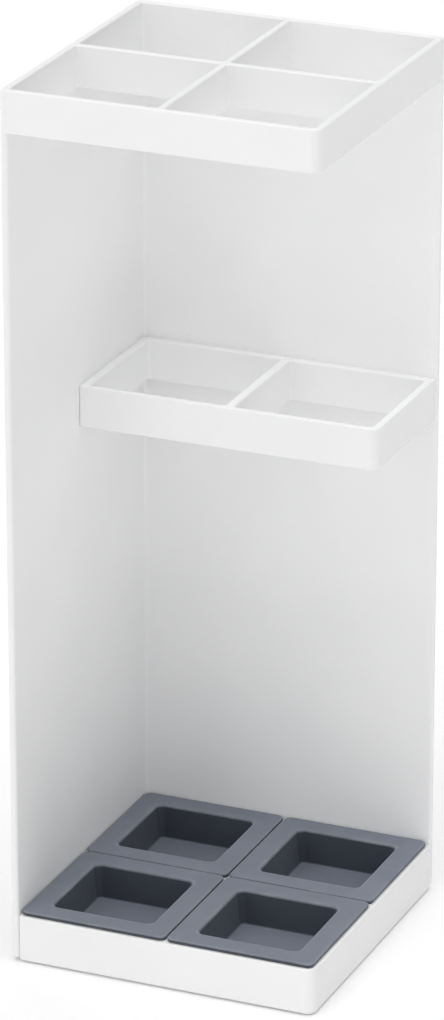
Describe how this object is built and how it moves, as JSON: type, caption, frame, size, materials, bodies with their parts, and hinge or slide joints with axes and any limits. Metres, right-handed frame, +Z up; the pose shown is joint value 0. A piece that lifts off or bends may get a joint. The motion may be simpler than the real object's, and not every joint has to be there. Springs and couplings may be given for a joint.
{
  "type": "umbrella stand",
  "caption": "Upright umbrella stand with an L-shaped wall panel, top and middle cell frames, and a base tray holding lift-out drip cups.",
  "frame": {"origin": "on the floor, under the middle of the footprint", "axes": "+X to the right seen from the open front, +Y to the back wall, +Z up"},
  "size_m": [0.2, 0.2, 0.56],
  "materials": {
    "white_plastic": "satin white moulded ABS",
    "silicone": "matte blue-grey silicone",
    "screw_steel": "zinc-plated",
    "pad_rubber": "matte dark grey"
  },
  "bodies": {
    "stand": {"wall_panel": "white_plastic", "top_frame": "white_plastic", "mid_frame": "white_plastic", "base_tray": "white_plastic", "mid_frame_screws": "screw_steel", "base_tray_screws": "screw_steel", "foot_pad_front_left": "pad_rubber", "foot_pad_front_right": "pad_rubber", "foot_pad_back_left": "pad_rubber", "foot_pad_back_right": "pad_rubber"},
    "drip_cup_front_left": {"drip_cup_front_left": "silicone"},
    "drip_cup_front_right": {"drip_cup_front_right": "silicone"},
    "drip_cup_back_left": {"drip_cup_back_left": "silicone"},
    "drip_cup_back_right": {"drip_cup_back_right": "silicone"}
  },
  "joints": [
    {"name": "lift_front_left", "type": "slide", "parent": "stand", "child": "drip_cup_front_left", "axis": [0, 0, 1], "range_m": [0, 0.06]},
    {"name": "lift_front_right", "type": "slide", "parent": "stand", "child": "drip_cup_front_right", "axis": [0, 0, 1], "range_m": [0, 0.06]},
    {"name": "lift_back_left", "type": "slide", "parent": "stand", "child": "drip_cup_back_left", "axis": [0, 0, 1], "range_m": [0, 0.06]},
    {"name": "lift_back_right", "type": "slide", "parent": "stand", "child": "drip_cup_back_right", "axis": [0, 0, 1], "range_m": [0, 0.06]}
  ]
}
